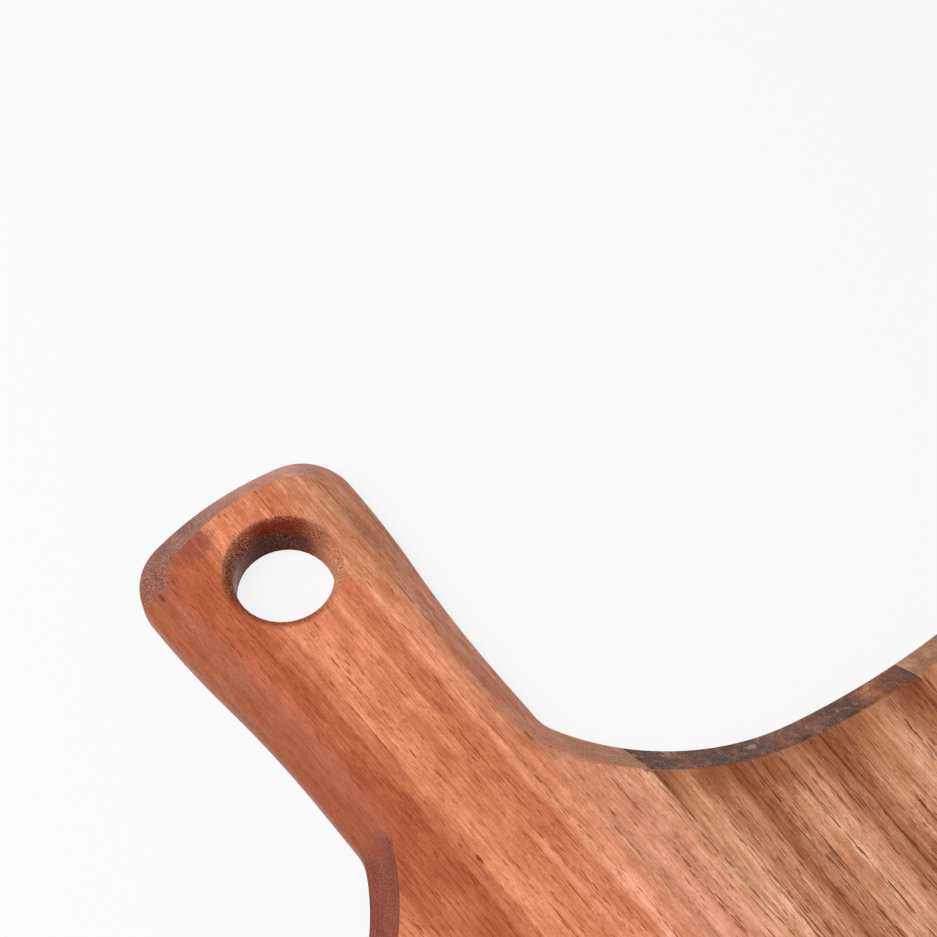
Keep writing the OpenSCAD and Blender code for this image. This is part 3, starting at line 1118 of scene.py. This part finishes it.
    def finished(self):
        """The material, with the colour so far, an oiled sheen and the relief of fibres and pores."""
        finish = self.finish
        rough = finish.roughness + (finish.end_roughness - finish.roughness) * self.end_share
        rough = rough + self.noise("grit") * ROUGH_GRIT + self.pores * ROUGH_PORES
        if self.bore_share:
            rough = rough + self.bore_share * (1 - finish.end_roughness)
        height = self.mix(RELIEF) + self.end_share * self.specks * SPECK_RELIEF
        height = height - self.pores * (1 - self.end_share)
        oiled(self.start, self.colour, rough, height, WOOD_RELIEF, finish)
        return self.material


# Glue: the size of its dust in millimetres and its seed, how dark it gets, its roughness, and its relief
# beside the wood's

GLUE_DUST = (0.5, 3, 0.5)
GLUE_SEED = 2.0
GLUE_DARK = 0.8
GLUE_ROUGH = 0.4
GLUE_ROUGH_DUST = 0.2
GLUE_RELIEF = 0.3
WOOD_RELIEF = 1.0


def cured_glue(tones, finish):
    """Amber glue with fine wood dust in it."""
    material, start = start_material("cured_glue")
    dust = start.make("ShaderNodeTexCoord", output="Object").noise(GLUE_DUST, GLUE_SEED) + NOISE_MEAN
    colour = dust.blend(opaque([channel * GLUE_DARK for channel in tones.glue]), opaque(tones.glue))
    oiled(start, colour, GLUE_ROUGH + dust * GLUE_ROUGH_DUST, dust, GLUE_RELIEF, finish)
    return material


def settle(piece, material, node):
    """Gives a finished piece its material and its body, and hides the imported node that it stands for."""
    piece.data.materials.append(material)
    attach(piece, BODY)
    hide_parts(node)


def settings(context):
    """The scene's sizes, tones and finish."""
    scene = context.scene
    return scene.board_sizes, scene.wood_tones, scene.wood_finish


def seam(node, side):
    """The distance from the centre line to the near (0) or far (1) side of a glue line on the right."""
    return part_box(node)[side].x


def handed(table, sign, across=None):
    """A table of a right-hand stave, moved across for the same stave on the left.

    The stave's two sides are those of the table across it: this table itself, unless another is given.
    """
    across = across or table
    move = 0.0 if sign > 0 else across[0][0] + across[-1][0]
    return tuple((x - move, *rest) for x, *rest in table)


HANDS = (("right", 1), ("left", -1))
MIDDLE_SEED = 4.0
SIDE_SEED = 31.0
OUTER_SEED = 57.0

# Oil-darkened edges of the handle: tone, side and strength
SOAKED_EDGES = (("madder", -1, 0.9), ("olive", 1, 0.25))


def build_pair(context, name, kind, seed, shells, grain, end, fade, spots=()):
    """Builds a stave on the right and its mirrored twin on the left, with figure of its own."""
    _, tones, finish = settings(context)
    for (hand, sign), shell in zip(HANDS, shells):
        piece = shell.piece(f"{hand}_{name}_shell", sign)
        wood = Wood(f"{hand}_{name}_wood", kind, seed * sign, tones, finish)
        fading = wood.fade(fade, SHOULDER_LINE)
        wood.lay_long_grain(handed(grain, sign), fading, handed(spots, sign, grain))
        wood.lay_end_grain(handed(end, sign))
        settle(piece, wood.finished(), f"{hand}_{name}")


class BOARD_OT_middle_stave(bpy.types.Operator):
    """Builds the middle stave with its handle and hanging hole"""

    bl_idname = "board.middle_stave"
    bl_label = "Middle stave"

    def execute(self, context):
        size, tones, finish = settings(context)
        shell = middle_shell(Outline(size), Outline(size, -1), seam("right_inner_glue_line", 0))
        piece = shell.piece("middle_stave_shell")
        wood = Wood("middle_stave_wood", REDDISH, MIDDLE_SEED, tones, finish)
        wood.lay_long_grain(MIDDLE_GRAIN, wood.fade(MIDDLE_FADE), STAINS, SOAKED_EDGES)
        wood.lay_end_grain(MIDDLE_END, TIP_END)
        wood.lay_bore(size.hole_offset, size.tip_y - size.hole_from_tip, size.hole_diameter / 2)
        wood.stain(FLECKS)
        settle(piece, wood.finished(), "middle_stave")
        return {"FINISHED"}


class BOARD_OT_side_staves(bpy.types.Operator):
    """Builds the two staves next to the middle one"""

    bl_idname = "board.side_staves"
    bl_label = "Side staves"

    def execute(self, context):
        size = context.scene.board_sizes
        x0, x1 = seam("right_inner_glue_line", 1), seam("right_outer_glue_line", 0)
        shells = [slice_shell(Outline(size, sign), x0, x1, SIDE_COLUMNS) for _, sign in HANDS]
        tables = (SIDE_GRAIN, SIDE_END, SIDE_FADE, SIDE_STAINS)
        build_pair(context, "side_stave", BROWN, SIDE_SEED, shells, *tables)
        return {"FINISHED"}


class BOARD_OT_outer_staves(bpy.types.Operator):
    """Builds the two outermost staves"""

    bl_idname = "board.outer_staves"
    bl_label = "Outer staves"

    def execute(self, context):
        outline = Outline(context.scene.board_sizes)
        columns = len(outline.stations(SIDE_TOP_MARK - 1, SIDE_TOP_MARK)) + SHOULDER_COLUMNS
        shell = slice_shell(outline, seam("right_outer_glue_line", 1), None, columns)
        tables = (OUTER_GRAIN, OUTER_END, OUTER_FADE)
        build_pair(context, "outer_stave", FAIR, OUTER_SEED, (shell, shell), *tables)
        return {"FINISHED"}


class BOARD_OT_glue_lines(bpy.types.Operator):
    """Builds the four cured glue lines between the staves"""

    bl_idname = "board.glue_lines"
    bl_label = "Glue lines"

    def execute(self, context):
        size, tones, finish = settings(context)
        glue = cured_glue(tones, finish)
        for joint in ("inner", "outer"):
            node = f"right_{joint}_glue_line"
            for hand, sign in HANDS:
                shell = slice_shell(Outline(size, sign), seam(node, 0), seam(node, 1), GLUE_COLUMNS)
                piece = shell.piece(f"{hand}_{joint}_glue_strip", sign)
                settle(piece, glue, f"{hand}_{joint}_glue_line")
        return {"FINISHED"}


FLOOR_POINTS = 3


class BOARD_OT_stage(bpy.types.Operator):
    """Sets out the floor, the light and the camera"""

    bl_idname = "board.stage"
    bl_label = "Stage"

    def execute(self, context):
        scene = context.scene
        stage = scene.board_stage
        self.lay_floor(scene, stage)
        self.hang_lamp(scene, stage)
        self.set_sky(scene, stage)
        self.set_camera(scene, stage)
        scene.view_settings.view_transform = "Standard"
        return {"FINISHED"}

    @staticmethod
    def seen_share(start):
        """1 for rays from the camera, from glossy surfaces and through glass, and 0 for light."""
        path = start.make("ShaderNodeLightPath", output="Is Camera Ray")
        return (path + path.also("Is Glossy Ray") + path.also("Is Transmission Ray")).step(0.0, 1.0)

    def lay_floor(self, scene, stage):
        """A flat square grid at the height of the underside, plain but for a share of the shadow."""
        half = stage.floor_size / 2
        across = np.linspace(-half, half, FLOOR_POINTS)
        x, y = np.meshgrid(across, across)
        shell = Shell()
        shell.add(np.stack([x, y, np.zeros_like(x)], -1))
        mesh = bpy.data.meshes.new("floor")
        mesh.from_pydata(shell.points[0].tolist(), [], shell.quads[0].tolist())
        floor = bpy.data.objects.new("floor", mesh)
        scene.collection.objects.link(floor)
        material, start = start_material("pale_floor")
        colour = opaque(stage.floor_tone)
        matt = start.make("ShaderNodeBsdfDiffuse", inputs={"Color": colour})
        plain = start.make("ShaderNodeEmission", inputs={"Color": colour, "Strength": 1.0})
        seen = self.seen_share(start) * (1 - stage.shadow_share)
        shader = start.make("ShaderNodeMixShader", inputs={0: seen, 1: matt, 2: plain})
        start.make("ShaderNodeOutputMaterial", inputs={"Surface": shader})
        mesh.materials.append(material)

    def hang_lamp(self, scene, stage):
        """A large square lamp that faces its aim."""
        lamp = bpy.data.lights.new("soft_lamp", "AREA")
        lamp.shape = "SQUARE"
        lamp.size = stage.lamp_size
        lamp.energy = stage.lamp_power
        hung = bpy.data.objects.new("soft_lamp", lamp)
        hung.location = stage.lamp_place
        facing = Vector(stage.lamp_aim) - Vector(stage.lamp_place)
        hung.rotation_euler = facing.to_track_quat("-Z", "Y").to_euler()
        scene.collection.objects.link(hung)

    def set_sky(self, scene, stage):
        """Even light from all round, and a plain background where it is seen."""
        sky = bpy.data.worlds.new("pale_sky")
        sky.use_nodes = True
        sky.node_tree.nodes.clear()
        start = Wire(sky.node_tree)
        strength = stage.sky_strength + self.seen_share(start) * (1 - stage.sky_strength)
        colour = opaque(stage.floor_tone)
        shader = start.make("ShaderNodeBackground", inputs={"Color": colour, "Strength": strength})
        start.make("ShaderNodeOutputWorld", inputs={"Surface": shader})
        scene.world = sky

    def set_camera(self, scene, stage):
        """A camera at its distance from its aim, turned about its line of sight by its roll."""
        elevation, bearing = stage.camera_elevation, stage.camera_bearing
        level_reach = math.cos(elevation)
        back = Vector(
            (-math.sin(bearing) * level_reach, -math.cos(bearing) * level_reach, math.sin(elevation))
        )
        right = Vector((0, 0, 1)).cross(back).normalized()
        up = back.cross(right)
        turned = right * math.cos(stage.camera_roll) + up * math.sin(stage.camera_roll)
        lens = bpy.data.cameras.new("camera")
        lens.lens = stage.camera_lens
        camera = bpy.data.objects.new("camera", lens)
        axes = Matrix((turned, back.cross(turned), back)).transposed().to_4x4()
        axes.translation = Vector(stage.camera_aim) + back * stage.camera_distance
        camera.matrix_world = axes
        scene.collection.objects.link(camera)
        scene.camera = camera


OPERATORS = (
    BOARD_OT_middle_stave,
    BOARD_OT_side_staves,
    BOARD_OT_outer_staves,
    BOARD_OT_glue_lines,
    BOARD_OT_stage,
)
GROUPS = {
    "board_sizes": BoardSizes,
    "wood_tones": WoodTones,
    "wood_finish": WoodFinish,
    "board_stage": StageSettings,
}


class BOARD_PT_panel(bpy.types.Panel):
    """Lists the board's pieces, its stage and their settings"""

    bl_label = "Paddle board"
    bl_idname = "BOARD_PT_panel"
    bl_space_type = "VIEW_3D"
    bl_region_type = "UI"
    bl_category = "Board"

    def draw(self, context):
        for operator in OPERATORS:
            self.layout.operator(operator.bl_idname)
        for name, group in GROUPS.items():
            box = self.layout.box()
            for key in group.__annotations__:
                box.prop(getattr(context.scene, name), key)


def register():
    """Adds the settings, the operators and the panel."""
    for group in GROUPS.values():
        bpy.utils.register_class(group)
    for name, group in GROUPS.items():
        setattr(bpy.types.Scene, name, bpy.props.PointerProperty(type=group))
    for kind in (*OPERATORS, BOARD_PT_panel):
        bpy.utils.register_class(kind)


def unregister():
    """Takes them away again."""
    for kind in (BOARD_PT_panel, *reversed(OPERATORS)):
        bpy.utils.unregister_class(kind)
    for name in GROUPS:
        delattr(bpy.types.Scene, name)
    for group in GROUPS.values():
        bpy.utils.unregister_class(group)


def main():
    """Registers the classes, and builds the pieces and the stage."""
    register()
    bpy.ops.board.middle_stave()
    bpy.ops.board.side_staves()
    bpy.ops.board.outer_staves()
    bpy.ops.board.glue_lines()
    bpy.ops.board.stage()
    bpy.context.view_layer.update()


if __name__ == "__main__":
    main()
